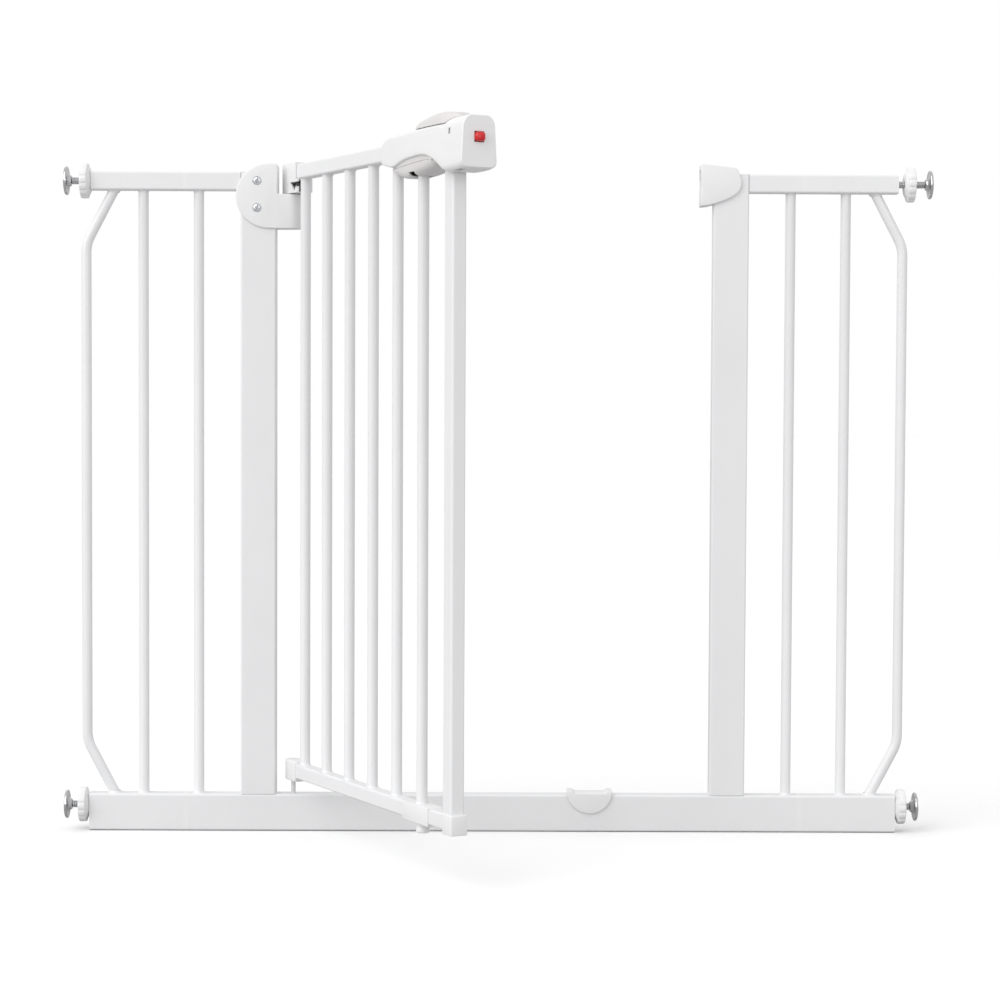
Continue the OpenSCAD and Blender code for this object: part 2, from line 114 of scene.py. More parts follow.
def plateFrom(name, points, push):
    # a closed outline is filled and pushed out by a vector in millimetres
    piece = drawLine(name, points)
    inEditMode(piece)
    bpy.ops.mesh.edge_face_add()
    bpy.ops.mesh.select_all(action="SELECT")
    bpy.ops.mesh.extrude_region_move(TRANSFORM_OT_translate={"value": Vector(push) * mm})
    outOfEditMode()
    tidyNormals(piece)
    return piece


def turned(name, outline, centre, axis, steps=48):
    # outline is (radius, distance along axis) in millimetres, spun round the axis
    along = Vector(axis)
    side = Vector((0, 0, 1)) if abs(along.z) < 0.5 else Vector((1, 0, 0))
    middle = Vector(centre)
    piece = drawLine(name, [middle + side * radius + along * rise for radius, rise in outline])
    inEditMode(piece)
    bpy.ops.mesh.spin(steps=steps, angle=math.tau, center=middle * mm, axis=along)
    outOfEditMode()
    tidyNormals(piece)
    return piece


def blockFrom(name, low, high):
    nothingSelected()
    centre = [(a + b) / 2 * mm for a, b in zip(low, high)]
    bpy.ops.mesh.primitive_cube_add(size=1, location=centre)
    piece = bpy.context.object
    piece.name = name
    piece.scale = [(b - a) * mm for a, b in zip(low, high)]
    applyPlace(piece)
    return piece


def rodFrom(name, centre, radius, length, axis="Z", sides=32):
    nothingSelected()
    turn = {"X": (0, math.pi / 2, 0), "Y": (math.pi / 2, 0, 0), "Z": (0, 0, 0)}[axis]
    bpy.ops.mesh.primitive_cylinder_add(vertices=sides, radius=radius * mm, depth=length * mm,
                                        location=Vector(centre) * mm, rotation=turn)
    piece = bpy.context.object
    piece.name = name
    applyPlace(piece)
    return piece


def rounded(piece, width, segments=3, angle=35):
    bevel = piece.modifiers.new("edges", "BEVEL")
    bevel.width = width * mm
    bevel.segments = segments
    bevel.limit_method = "ANGLE"
    bevel.angle_limit = math.radians(angle)
    applyModifiers(piece)
    return piece


def combined(piece, others, operation):
    for other in others:
        step = piece.modifiers.new(operation.lower(), "BOOLEAN")
        step.operation = operation
        step.solver = "EXACT"
        step.object = other
        applyModifiers(piece)
        bpy.data.objects.remove(other)
    return piece


def cutOut(piece, *cutters):
    return combined(piece, cutters, "DIFFERENCE")


def joinedWith(piece, *others):
    onlySelected(piece)
    for other in others:
        other.select_set(True)
    bpy.ops.object.join()
    return piece


def smoothed(piece, angle=35):
    onlySelected(piece)
    bpy.ops.object.shade_smooth_by_angle(angle=math.radians(angle))
    return piece


def toDoor(piece):
    # a piece modelled along the closed door is turned into the open position
    piece.matrix_world = doorPlace
    applyPlace(piece)
    return piece


def arc(cx, cz, radius, start, end, steps):
    turns = [math.radians(start + (end - start) * i / steps) for i in range(steps + 1)]
    return [(cx + radius * math.cos(turn), cz + radius * math.sin(turn)) for turn in turns]


def curveAt(table, place):
    # smooth curve through a table of (place, value)
    last = len(table) - 1
    i = max(k for k in range(last) if k == 0 or table[k][0] <= place)
    (x0, y0), (x1, y1) = table[i], table[i + 1]
    before = table[max(i - 1, 0)]
    after = table[min(i + 2, last)]
    slopeIn = (y1 - before[1]) / (x1 - before[0])
    slopeOut = (after[1] - y0) / (after[0] - x0)
    t = min(max((place - x0) / (x1 - x0), 0), 1)
    step = x1 - x0
    return ((2 * t**3 - 3 * t**2 + 1) * y0 + (t**3 - 2 * t**2 + t) * step * slopeIn
            + (3 * t**2 - 2 * t**3) * y1 + (t**3 - t**2) * step * slopeOut)


def sectionOf(halfWidth, low, high, lowRadius, highRadius, taper=0):
    # closed cross-section with round corners, as (y, z) points in a fixed count
    lowRadius = min(lowRadius, halfWidth * 0.9)
    highRadius = min(highRadius, halfWidth * 0.95, (high - low) * 0.95)
    right = halfWidth
    points = []
    for i in range(6):
        points.append(((lowRadius - right) + (right - lowRadius) * 2 * i / 6, low))
    points += arc(right - lowRadius, low + lowRadius, lowRadius, -90, 0, 4)
    for i in range(1, 4):
        points.append((right, low + lowRadius + (high - highRadius - low - lowRadius) * i / 4))
    points += arc(right - highRadius, high - highRadius, highRadius, 0, 90, 8)
    for i in range(1, 6):
        points.append(((right - highRadius) * (1 - 2 * i / 6), high))
    points += arc(highRadius - right, high - highRadius, highRadius, 90, 180, 8)
    for i in range(1, 4):
        points.append((-right, high - highRadius - (high - highRadius - low - lowRadius) * i / 4))
    points += arc(lowRadius - right, low + lowRadius, lowRadius, 180, 270, 4)[:-1]
    return [(y * (1 - taper * (z - low) / (high - low)), z) for y, z in points]


def lofted(name, stations, section):
    # a grid is wrapped round the cross-sections; stations run along the door
    around = len(section(stations[0]))
    nothingSelected()
    bpy.ops.mesh.primitive_grid_add(x_subdivisions=len(stations) - 1, y_subdivisions=around, size=1)
    piece = bpy.context.object
    piece.name = name
    rings = [section(station) for station in stations]
    for vertex in piece.data.vertices:
        i = round((vertex.co.x + 0.5) * (len(stations) - 1))
        j = round((vertex.co.y + 0.5) * around) % around
        y, z = rings[i][j]
        vertex.co = Vector((stations[i], y, z)) * mm
    inEditMode(piece)
    bpy.ops.mesh.remove_doubles(threshold=weldGap * mm)
    bpy.ops.mesh.select_all(action="SELECT")
    bpy.ops.mesh.fill_holes(sides=0)
    outOfEditMode()
    tidyNormals(piece)
    return piece


def placed(piece, body, finish, *nodes):
    piece.data.materials.clear()
    piece.data.materials.append(materials[finish])
    if nodes:
        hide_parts(*nodes)
    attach(piece, body)
    return piece


def lowOf(node):
    return [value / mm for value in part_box(node)[0]]


def highOf(node):
    return [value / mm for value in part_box(node)[1]]


def middleOf(node):
    return [(a + b) / 2 for a, b in zip(lowOf(node), highOf(node))]


# finishes

def finishGroup():
    # colour drift, roughness drift and a fine grain, shared by every finish
    group = bpy.data.node_groups.new("surfaceDrift", "ShaderNodeTree")
    sockets = (("Light", "NodeSocketColor"), ("Dark", "NodeSocketColor"),
               ("Drift scale", "NodeSocketFloat"), ("Grain scale", "NodeSocketFloat"),
               ("Grain height", "NodeSocketFloat"), ("Smooth", "NodeSocketFloat"),
               ("Rough", "NodeSocketFloat"))
    for name, kind in sockets:
        group.interface.new_socket(name=name, in_out="INPUT", socket_type=kind)
    for name, kind in (("Color", "NodeSocketColor"), ("Roughness", "NodeSocketFloat"),
                       ("Normal", "NodeSocketVector")):
        group.interface.new_socket(name=name, in_out="OUTPUT", socket_type=kind)
    nodes, links = group.nodes, group.links
    entry = nodes.new("NodeGroupInput")
    leave = nodes.new("NodeGroupOutput")
    place = nodes.new("ShaderNodeTexCoord")
    drift = nodes.new("ShaderNodeTexNoise")
    drift.inputs["Detail"].default_value = 3
    grain = nodes.new("ShaderNodeTexNoise")
    grain.inputs["Detail"].default_value = 2
    blend = nodes.new("ShaderNodeMix")
    blend.data_type = "RGBA"
    spread = nodes.new("ShaderNodeMapRange")
    bump = nodes.new("ShaderNodeBump")
    bump.inputs["Distance"].default_value = 0.0002
    links.new(place.outputs["Object"], drift.inputs["Vector"])
    links.new(place.outputs["Object"], grain.inputs["Vector"])
    links.new(entry.outputs["Drift scale"], drift.inputs["Scale"])
    links.new(entry.outputs["Grain scale"], grain.inputs["Scale"])
    links.new(drift.outputs["Fac"], blend.inputs["Factor"])
    links.new(entry.outputs["Light"], blend.inputs["A"])
    links.new(entry.outputs["Dark"], blend.inputs["B"])
    links.new(drift.outputs["Fac"], spread.inputs["Value"])
    links.new(entry.outputs["Smooth"], spread.inputs["To Min"])
    links.new(entry.outputs["Rough"], spread.inputs["To Max"])
    links.new(grain.outputs["Fac"], bump.inputs["Height"])
    links.new(entry.outputs["Grain height"], bump.inputs["Strength"])
    links.new(blend.outputs["Result"], leave.inputs["Color"])
    links.new(spread.outputs["Result"], leave.inputs["Roughness"])
    links.new(bump.outputs["Normal"], leave.inputs["Normal"])
    return group


# each finish: light and dark tone, drift and grain scales per metre, grain height, roughness
finishes = {
    "white_paint": dict(light=(0.85, 0.85, 0.86), dark=(0.80, 0.80, 0.81), drift=14, grain=420,
                        height=0.10, smooth=0.28, rough=0.42, coat=0.25),
    "white_plastic": dict(light=(0.86, 0.86, 0.86), dark=(0.81, 0.81, 0.815), drift=22, grain=1500,
                          height=0.16, smooth=0.36, rough=0.50),
    "grey_plastic": dict(light=(0.72, 0.70, 0.695), dark=(0.66, 0.64, 0.635), drift=30, grain=1600,
                         height=0.22, smooth=0.38, rough=0.52),
    "red_plastic": dict(light=(0.72, 0.004, 0.012), dark=(0.55, 0.002, 0.006), drift=60, grain=1200,
                        height=0.10, smooth=0.22, rough=0.34, coat=0.3),
    "polished_steel": dict(light=(0.70, 0.70, 0.71), dark=(0.48, 0.48, 0.49), drift=70, grain=2600,
                           height=0.05, smooth=0.08, rough=0.24, metal=1),
    "zinc_screws": dict(light=(0.90, 0.92, 0.96), dark=(0.66, 0.68, 0.72), drift=160, grain=2400,
                        height=0.08, smooth=0.16, rough=0.34, metal=1),
    "pin_steel": dict(light=(0.80, 0.80, 0.81), dark=(0.68, 0.68, 0.69), drift=90, grain=1800,
                      height=0.06, smooth=0.26, rough=0.44, metal=0.3),
    "spring_steel": dict(light=(0.50, 0.49, 0.50), dark=(0.22, 0.21, 0.22), drift=220, grain=2400,
                         height=0.06, smooth=0.20, rough=0.36, metal=1),
}


def makeFinish(name, look, group):
    material = bpy.data.materials.new(name)
    material.use_nodes = True
    nodes, links = material.node_tree.nodes, material.node_tree.links
    shader = nodes["Principled BSDF"]
    drift = nodes.new("ShaderNodeGroup")
    drift.node_tree = group
    drift.inputs["Light"].default_value = (*look["light"], 1)
    drift.inputs["Dark"].default_value = (*look["dark"], 1)
    drift.inputs["Drift scale"].default_value = look["drift"]
    drift.inputs["Grain scale"].default_value = look["grain"]
    drift.inputs["Grain height"].default_value = look["height"]
    drift.inputs["Smooth"].default_value = look["smooth"]
    drift.inputs["Rough"].default_value = look["rough"]
    links.new(drift.outputs["Color"], shader.inputs["Base Color"])
    links.new(drift.outputs["Roughness"], shader.inputs["Roughness"])
    links.new(drift.outputs["Normal"], shader.inputs["Normal"])
    shader.inputs["Metallic"].default_value = look.get("metal", 0)
    shader.inputs["Coat Weight"].default_value = look.get("coat", 0)
    shader.inputs["Coat Roughness"].default_value = 0.25
    return material


drift = finishGroup()
materials = {name: makeFinish(name, look, drift) for name, look in finishes.items()}
for row in frame["record"]["subparts"]:
    node = frame["nodes"][row["node"]]
    for place in node.material_slots:
        place.material = materials[row["material_slot"]]
print("finishes made:", len(materials))


# round bars with their weld beads

# bead gives each ring of the weld as (share of its width, share of its height)
bars = dict(radius=5.5, sides=40, beadWidth=1.3, beadHeight=2.4,
            bead=[(1, 0), (0.78, 0.16), (0.42, 0.36), (0.14, 0.66), (0, 1)])


def barOutline(low, high):
    width, rise = bars["beadWidth"], bars["beadHeight"]
    foot = [(bars["radius"] + width * out, low + rise * up) for out, up in bars["bead"]]
    head = [(radius, high - (place - low)) for radius, place in reversed(foot)]
    return foot + head


def makeBar(node, body):
    low, high, middle = lowOf(node)[2], highOf(node)[2], middleOf(node)
    centre = (middle[0], middle[1], 0)
    bar = turned(node + "_welded", barOutline(low, high), centre, (0, 0, 1), bars["sides"])
    placed(smoothed(bar), body, "white_paint", node)


for i in range(6):
    makeBar(f"door_bar_{i + 1}", "gate")
for side in ("left", "right"):
    makeBar("inner_bar_" + side, "frame")
    makeBar("ext_bar_" + side, "frame")
print("bars welded in")

bentBar = dict(lean=27.6, bendRadius=40, bend=30, steps=10, inset=1.5,
               bead=[(1.6, 0), (1.2, 0.5), (0.6, 1.1), (0.1, 2.2)])


def makeBentBar(side, sign):
    node = "bent_bar_" + side
    low, high = lowOf(node), highOf(node)
    radius = bars["radius"]
    outer = (high[0] if sign > 0 else -low[0]) - radius
    lean = math.radians(bentBar["lean"])
    bendRadius = bentBar["bendRadius"]
    rise = bentBar["bend"] / math.tan(lean) + bendRadius * math.tan(lean / 2)
    inset = bentBar["inset"]
    foot = outer - bentBar["bend"]
    path = [(foot - inset * math.tan(lean), low[2] - inset)]
    for centre, start, end in ((low[2] + rise, -bentBar["lean"], 0),
                               (high[2] - rise, 0, bentBar["lean"])):
        path += arc(outer - bendRadius, centre, bendRadius, start, end, bentBar["steps"])
    path.append((foot - inset * math.tan(lean), high[2] + inset))
    bar = drawLine(node + "_welded", [(sign * x, 0, z) for x, z in path])
    onlySelected(bar)
    bpy.ops.object.convert(target="CURVE")
    bar.data.bevel_depth = radius * mm
    bar.data.bevel_resolution = 8
    bar.data.use_fill_caps = True
    bpy.ops.object.convert(target="MESH")
    beads = []
    for place, up in ((low[2], 1), (high[2], -1)):
        bead = turned("bead", [(radius + out, along * up) for out, along in bentBar["bead"]],
                      (0, 0, 0), (0, 0, 1), bars["sides"])
        bead.scale = (1 / math.cos(lean), 1, 1)
        bead.location = (sign * foot * mm, 0, place * mm)
        applyPlace(bead)
        beads.append(bead)
    joinedWith(bar, *beads)
    placed(smoothed(bar), "frame", "white_paint", node)


makeBentBar("left", -1)
makeBentBar("right", 1)
print("bent bars made")


# hand nuts and wall spindles

# the dish is sunk into the face between the rim and the boss round the bore
handNut = dict(radius=18.98, lobes=14, lobeDepth=0.9, rim=8, hub=3, hubRadius=15.5, neckRadius=16.6,
               step=8, edge=1.1, bore=4.1, dishRadius=16.2, bossRadius=9, sides=56)


def makeNut(corner):
    node = "knob_nut_" + corner
    low, high = lowOf(node), highOf(node)
    sign = 1 if high[0] > 0 else -1
    railFace = low[0] if sign > 0 else high[0]
    middle = middleOf(node)[1:]
    count = handNut["lobes"] * handNut["step"]
    outline = []
    for i in range(count):
        turn = math.tau * i / count
        dip = handNut["lobeDepth"] * (1 - abs(math.cos(turn * handNut["lobes"] / 2))) ** 1.5
        radius = handNut["radius"] - dip
        outline.append((railFace + sign * handNut["hub"], middle[0] + radius * math.cos(turn),
                        middle[1] + radius * math.sin(turn)))
    nut = plateFrom(node + "_moulded", outline, (sign * handNut["rim"], 0, 0))
    rounded(nut, handNut["edge"], 3, 60)
    centre, along, sides = (railFace, *middle), (sign, 0, 0), handNut["sides"]
    bore, dish, boss = handNut["bore"], handNut["dishRadius"], handNut["bossRadius"]
    hub = turned("hub", [(bore, 0), (11, 0), (12, 0.3), (handNut["hubRadius"], 2.4),
                         (handNut["neckRadius"], handNut["hub"] + 0.6)], centre, along, sides)
    face = handNut["hub"] + handNut["rim"]
    bossRing = turned("boss", [(bore, face), (boss - 1.5, face), (boss - 0.8, face - 0.35),
                               (boss, face - 0.9)], centre, along, sides)
    boreCutter = rodFrom("bore", (railFace + sign * 6, *middle), bore, 30, "X", 40)
    dishCutter = turned("dish", [(0, face + 1), (dish, face + 1), (dish - 0.6, face - 0.5),
                                 (boss + 0.4, face - 0.9), (0, face - 0.9)], centre, along, sides)
    cutOut(nut, boreCutter, dishCutter)
    joinedWith(nut, hub, bossRing)
    placed(smoothed(nut, 40), "nut_" + corner, "white_plastic", node)


# disc lists (radius, distance from the wall face); the thread starts inside the disc's neck
spindle = dict(threadRadius=4, rootRadius=3.35, pitch=2, threadStart=7.2, threadShort=8, sides=72,
               disc=[(0, 0), (13.6, 0), (14.6, -0.35), (15.3, -1.2), (15.5, -2.2), (15.1, -3.0),
                     (14.2, -3.3), (12.6, -2.9), (9.5, -3.1), (7.4, -3.9), (6.3, -5.2), (5.9, -6.6),
                     (5.2, -7.3), (3.3, -7.4)])


def makeSpindle(corner):
    node = "spindle_" + corner
    low, high = lowOf(node), highOf(node)
    sign = 1 if high[0] > 0 else -1
    wallFace = high[0] if sign > 0 else low[0]
    middle = middleOf(node)[1:]
    inner = abs(low[0] if sign > 0 else high[0])
    length = abs(wallFace) - inner
    disc = turned(node + "_turned", spindle["disc"], (wallFace, *middle), (sign, 0, 0),
                  spindle["sides"])
    turns = int((length - spindle["threadShort"]) / spindle["pitch"])
    start = wallFace - sign * spindle["threadStart"]
    root, crest, pitch = spindle["rootRadius"], spindle["threadRadius"], spindle["pitch"]
    thread = drawLine("thread", [(-sign * pitch * share, 0, radius) for share, radius in
                                 ((0, root), (0.36, crest - 0.1), (0.5, crest),
                                  (0.64, crest - 0.1), (1, root))])
    wind = thread.modifiers.new("wind", "SCREW")
    wind.axis = "X"
    wind.angle = math.tau
    wind.steps = 24
    wind.render_steps = 24
    wind.iterations = turns
    wind.screw_offset = -sign * pitch * mm
    wind.use_merge_vertices = True
    wind.merge_threshold = 0.00001
    applyModifiers(thread)
    thread.location = (start * mm, middle[0] * mm, middle[1] * mm)
    applyPlace(thread)
    tidyNormals(thread)
    joinedWith(disc, thread)
    placed(smoothed(disc, 30), "spindle_" + corner, "polished_steel", node)


for corner in ("top_left", "top_right", "bottom_left", "bottom_right"):
    makeNut(corner)
    makeSpindle(corner)
print("nuts and spindles made")


# hinge side

hingeCover = dict(halfDepth=13, edge=1.6, arcRadius=35, faceX=-235, knuckleDrop=33, corner=3,
                  recess=4.7, screwInset=4.5, screwFace=-12.3)
# the cover is hollowed for the post and for the rail that ends in it
coverHollow = dict(postLeft=-275.2, postRight=-236.3, railLeft=-300, railRight=-274, half=10.2,
                   railDrop=20.2)
screwHead = dict(profile=[(0, 2.2), (1.8, 2.15), (3.1, 1.8), (4.0, 1.1)], radius=4.5, rim=0.25,
                 under=-1.0, slot=(2.7, 2.8, 0.65), slotRise=2.4, turns=(20, 110))


def panScrew(name, centre, facing, headRadius=screwHead["radius"]):
    # pan head with a cross recess; facing is -1 towards the viewer
    rim, under = screwHead["rim"], screwHead["under"]
    profile = screwHead["profile"] + [(headRadius, rim), (headRadius, under), (0, under)]
    outline = [(radius, rise * facing) for radius, rise in profile]
    head = turned(name, outline, centre, (0, 1, 0), 40)
    cutters = []
    slotCentre = Vector(centre) + Vector((0, screwHead["slotRise"] * facing, 0))
    for turn in screwHead["turns"]:
        slot = blockFrom("slot", [-size for size in screwHead["slot"]], screwHead["slot"])
        slot.matrix_world = (Matrix.Translation(slotCentre * mm)
                             @ Matrix.Rotation(math.radians(turn), 4, "Y"))
        applyPlace(slot)
        cutters.append(slot)
    return smoothed(cutOut(head, *cutters), 40)


def screwPlaces(node, inset):
    # x and the two heights of a pair of screw heads, one near each end of their node
    return middleOf(node)[0], lowOf(node)[2] + inset, highOf(node)[2] - inset


screwX, screwLow, screwHigh = screwPlaces("hinge_screws", hingeCover["screwInset"])


def makeHingeCover(half, sign):
    node = "hinge_cover_" + half
    low, high = lowOf(node), highOf(node)
    depth, radius = hingeCover["halfDepth"], hingeCover["arcRadius"]
    faceX, corner = hingeCover["faceX"], hingeCover["corner"]
    outline = arc(low[0] + radius, middleOf(node)[2], radius, 90, 270, 40)
    outline += [(faceX, low[2]), (faceX, high[2] - corner)]
    outline += arc(faceX - corner, high[2] - corner, corner, 0, 90, 4)
    cover = plateFrom(node + "_moulded", [(x, 0, z) for x, z in outline], (0, sign * depth, 0))
    inEditMode(cover)
    bpy.ops.mesh.select_all(action="DESELECT")
    outOfEditMode()
    # only the outer face's edge is rounded
    for edge in cover.data.edges:
        ends = [cover.data.vertices[k].co.y / mm * sign for k in edge.vertices]
        edge.select = min(ends) > depth - 0.01
    bpy.ops.object.mode_set(mode="EDIT")
    bpy.ops.mesh.select_mode(type="EDGE")
    bpy.ops.mesh.bevel(offset=hingeCover["edge"] * mm, segments=4, affect="EDGES")
    outOfEditMode()
    top = high[2] - hingeCover["knuckleDrop"]
    knuckleX = hinge.x / mm - 4
    plan = [(faceX - 4, 0), (faceX - 4, sign * depth), (knuckleX, sign * depth)]
    plan += [(x, y * sign) for x, y in arc(knuckleX, 0, depth, 90, 0, 14)[1:]]
    knuckle = plateFrom("knuckle", [(x, y, low[2]) for x, y in plan], (0, 0, top - low[2]))
    rounded(knuckle, 0.9, 3, 50)
    combined(cover, [knuckle], "UNION")
    railTop = highOf("hinge_post")[2]
    hollow, inner = coverHollow, coverHollow["half"]
    cutters = [blockFrom("post", (hollow["postLeft"], -inner, 0),
                         (hollow["postRight"], inner, railTop + 1)),
               blockFrom("rail", (hollow["railLeft"], -inner, railTop - hollow["railDrop"]),
                         (hollow["railRight"], inner, railTop + 0.2))]
    if sign < 0:
        for z in (screwLow, screwHigh):
            cutters.append(rodFrom("recess", (screwX, -depth, z), hingeCover["recess"], 2, "Y", 40))
    cutOut(cover, *cutters)
    placed(smoothed(cover, 32), "frame", "white_plastic", node)


makeHingeCover("front", -1)
makeHingeCover("rear", 1)
screwFace = hingeCover["screwFace"]
hingeScrews = joinedWith(panScrew("hinge_screw_heads", (screwX, screwFace, screwHigh), -1),
                         panScrew("lower_head", (screwX, screwFace, screwLow), -1))
placed(hingeScrews, "frame", "zinc_screws", "hinge_screws")
print("hinge cover made")

hingeCap = dict(back=-11.5, front=25, cheek=29.5, halfDepth=8.8, turnRadius=14.4, edge=1.3,
                sill=14.2, cavityHalf=6.8, floor=1.2, floorEnd=22)


def capPlan(radius, half, back, front):
    # round behind the hinge axis, cut flat at the back, straight-sided towards the door
    sideTurn = math.degrees(math.asin(half / radius))
    backTurn = math.degrees(math.acos(-back / radius))
    return ([(front, half)] + arc(0, 0, radius, 180 - sideTurn, 180 - backTurn, 3)
            + arc(0, 0, radius, 180 + backTurn, 180 + sideTurn, 3) + [(front, -half)])


def makeUpperCap():
    low, high = lowOf("upper_hinge_cap")[2], highOf("upper_hinge_cap")[2]
    half, front, cheek = hingeCap["halfDepth"], hingeCap["front"], hingeCap["cheek"]
    plan = capPlan(hingeCap["turnRadius"], half, hingeCap["back"], cheek + 3)
    cap = plateFrom("upper_hinge_cap_moulded", [(x, y, low) for x, y in plan], (0, 0, high - low))
    rounded(cap, hingeCap["edge"], 3, 40)
    sill, inner, floor = low + hingeCap["sill"], hingeCap["cavityHalf"], low + hingeCap["floor"]
    window = [(9.5, low + 11.4), (19.5, low + 1.3), (cheek + 2, low + 7.3), (cheek + 2, low + 11.4)]
    cutters = [blockFrom("rail_end", (front - 0.3, -20, sill), (front + 20, 20, high + 5)),
               blockFrom("end", (cheek, -20, low - 5), (cheek + 20, 20, sill + 1)),
               plateFrom("window", [(x, -12, z) for x, z in window], (0, 6, 0)),
               blockFrom("cavity", (1, -inner, floor), (cheek + 1, inner, sill - 0.6)),
               blockFrom("bar_side", (hingeCap["floorEnd"], -inner, low - 1),
                         (cheek + 1, inner, low + 2)),
               rodFrom("coil_space", (0, 0, low + 6), inner, 15.5),
               rodFrom("pin_space", (0, 0, low + 10), 4.1, 26)]
    cutOut(cap, *cutters)
    placed(toDoor(smoothed(cap, 40)), "gate", "white_plastic", "upper_hinge_cap")


makeUpperCap()


def coilPiece(name, radius, wire, pitch, turns, place, ring=14):
    # helix wound up the Z axis from a small circle of wire
    nothingSelected()
    bpy.ops.mesh.primitive_circle_add(vertices=ring, radius=wire * mm, location=(radius * mm, 0, 0),
                                      rotation=(math.pi / 2, 0, 0))
    coil = bpy.context.object
    coil.name = name
    applyPlace(coil)
    wind = coil.modifiers.new("wind", "SCREW")
    wind.axis = "Z"
    wind.angle = math.tau
    wind.steps = 28
    wind.render_steps = 28
    wind.iterations = turns
    wind.screw_offset = pitch * mm
    applyModifiers(coil)
    inEditMode(coil)
    bpy.ops.mesh.fill_holes(sides=0)
    outOfEditMode()
    tidyNormals(coil)
    coil.location = Vector(place) * mm
    applyPlace(coil)
    return coil


# the coil sits round the pin; a small second coil leans in the window on the leg's end
spring = dict(radius=5.2, wire=0.62, pitch=1.5, turns=6, rise=0.7, legMiddle=11.2, legRise=3.6,
              legLength=22, hookRadius=3.1, hookWire=0.6, hookPitch=1.35, hookX=13.2, hookY=-2.6,
              hookRise=2.2, hookLean=58)


def makeTorsionSpring():
    low = lowOf("torsion_spring")[2]
    radius, wire, turns = spring["radius"], spring["wire"], spring["turns"]
    coil = coilPiece("torsion_spring_wound", radius, wire, spring["pitch"], turns,
                     (0, 0, low + spring["rise"]))
    leg = rodFrom("leg", (spring["legMiddle"], -radius, low + spring["legRise"]), wire,
                  spring["legLength"], "X", 14)
    hook = coilPiece("hook", spring["hookRadius"], spring["hookWire"], spring["hookPitch"], turns,
                     (0, 0, 0))
    hookPlace = Vector((spring["hookX"], spring["hookY"], low + spring["hookRise"]))
    hook.matrix_world = (Matrix.Translation(hookPlace * mm)
                         @ Matrix.Rotation(math.radians(spring["hookLean"]), 4, "Y"))
    applyPlace(hook)
    joinedWith(coil, leg, hook)
    placed(toDoor(smoothed(coil, 60)), "gate", "spring_steel", "torsion_spring")


makeTorsionSpring()


lowerCap = dict(half=8.8, front=24, edge=1.4, pinRadius=2.6, pinDepth=34)


def makeLowerCap():
    low, high = lowOf("lower_hinge_cap")[2], highOf("lower_hinge_cap")[2]
    half, front = lowerCap["half"], lowerCap["front"]
    plan = [(front, half), (0, half)] + arc(0, 0, half, 90, 270, 18)[1:] + [(front, -half)]
    cap = plateFrom("lower_hinge_cap_moulded", [(x, y, low) for x, y in plan], (0, 0, high - low))
    rounded(cap, lowerCap["edge"], 3, 40)
    cutOut(cap, rodFrom("pin_space", (0, 0, low), lowerCap["pinRadius"], lowerCap["pinDepth"]))
    placed(toDoor(smoothed(cap, 40)), "gate", "white_plastic", "lower_hinge_cap")


makeLowerCap()
print("hinge caps and spring made")


# door's free end

# the door's lower rail runs from railLow up; the cap and the sleeve are shells round it
freeEnd = dict(railLow=59, railHalf=7.5, capStart=381, railEnd=397, capEnd=400.5, capLow=56,
               capHigh=75.5, capHalf=8.7, sleeveHalf=9.2, sleeveReach=28, sleeveLow=57.3,
               sleeveHigh=75.4, footPlace=322)
stopFoot = [(0, 47.3), (5.4, 47.3), (6.2, 47.6), (6.7, 48.2), (6.8, 48.9), (6.8, 51.6), (6.6, 52.2),
            (6.0, 52.6), (6.0, 67.5), (0, 67.5)]


def shellRound(node, low, high, edge, cutters):
    piece = rounded(blockFrom(node + "_moulded", low, high), edge, 3)
    cutOut(piece, *cutters)
    placed(toDoor(smoothed(piece, 40)), "gate", "white_plastic", node)


railLow, railHalf, footPlace = freeEnd["railLow"], freeEnd["railHalf"], freeEnd["footPlace"]
shellRound("bottom_end_cap", (freeEnd["capStart"], -freeEnd["capHalf"], freeEnd["capLow"]),
           (freeEnd["capEnd"], freeEnd["capHalf"], freeEnd["capHigh"]), 0.9,
           [blockFrom("rail", (370, -railHalf, railLow), (freeEnd["railEnd"], railHalf, 90))])
shellRound("foot_sleeve",
           (footPlace - freeEnd["sleeveReach"], -freeEnd["sleeveHalf"], freeEnd["sleeveLow"]),
           (footPlace + freeEnd["sleeveReach"], freeEnd["sleeveHalf"], freeEnd["sleeveHigh"]), 0.8,
           [blockFrom("rail", (280, -railHalf, railLow), (360, railHalf, 74.9)),
            rodFrom("bore", (footPlace, 0, 58), 6.1, 6),
            rodFrom("bar", (footPlace - 2.5, 0, 75.5), 5.7, 2)])

foot = turned("stop_foot_moulded", stopFoot, (footPlace, 0, 0), (0, 0, 1), 48)
placed(toDoor(smoothed(foot, 40)), "stop_foot", "white_plastic", "stop_foot")
print("door foot made")


# handle

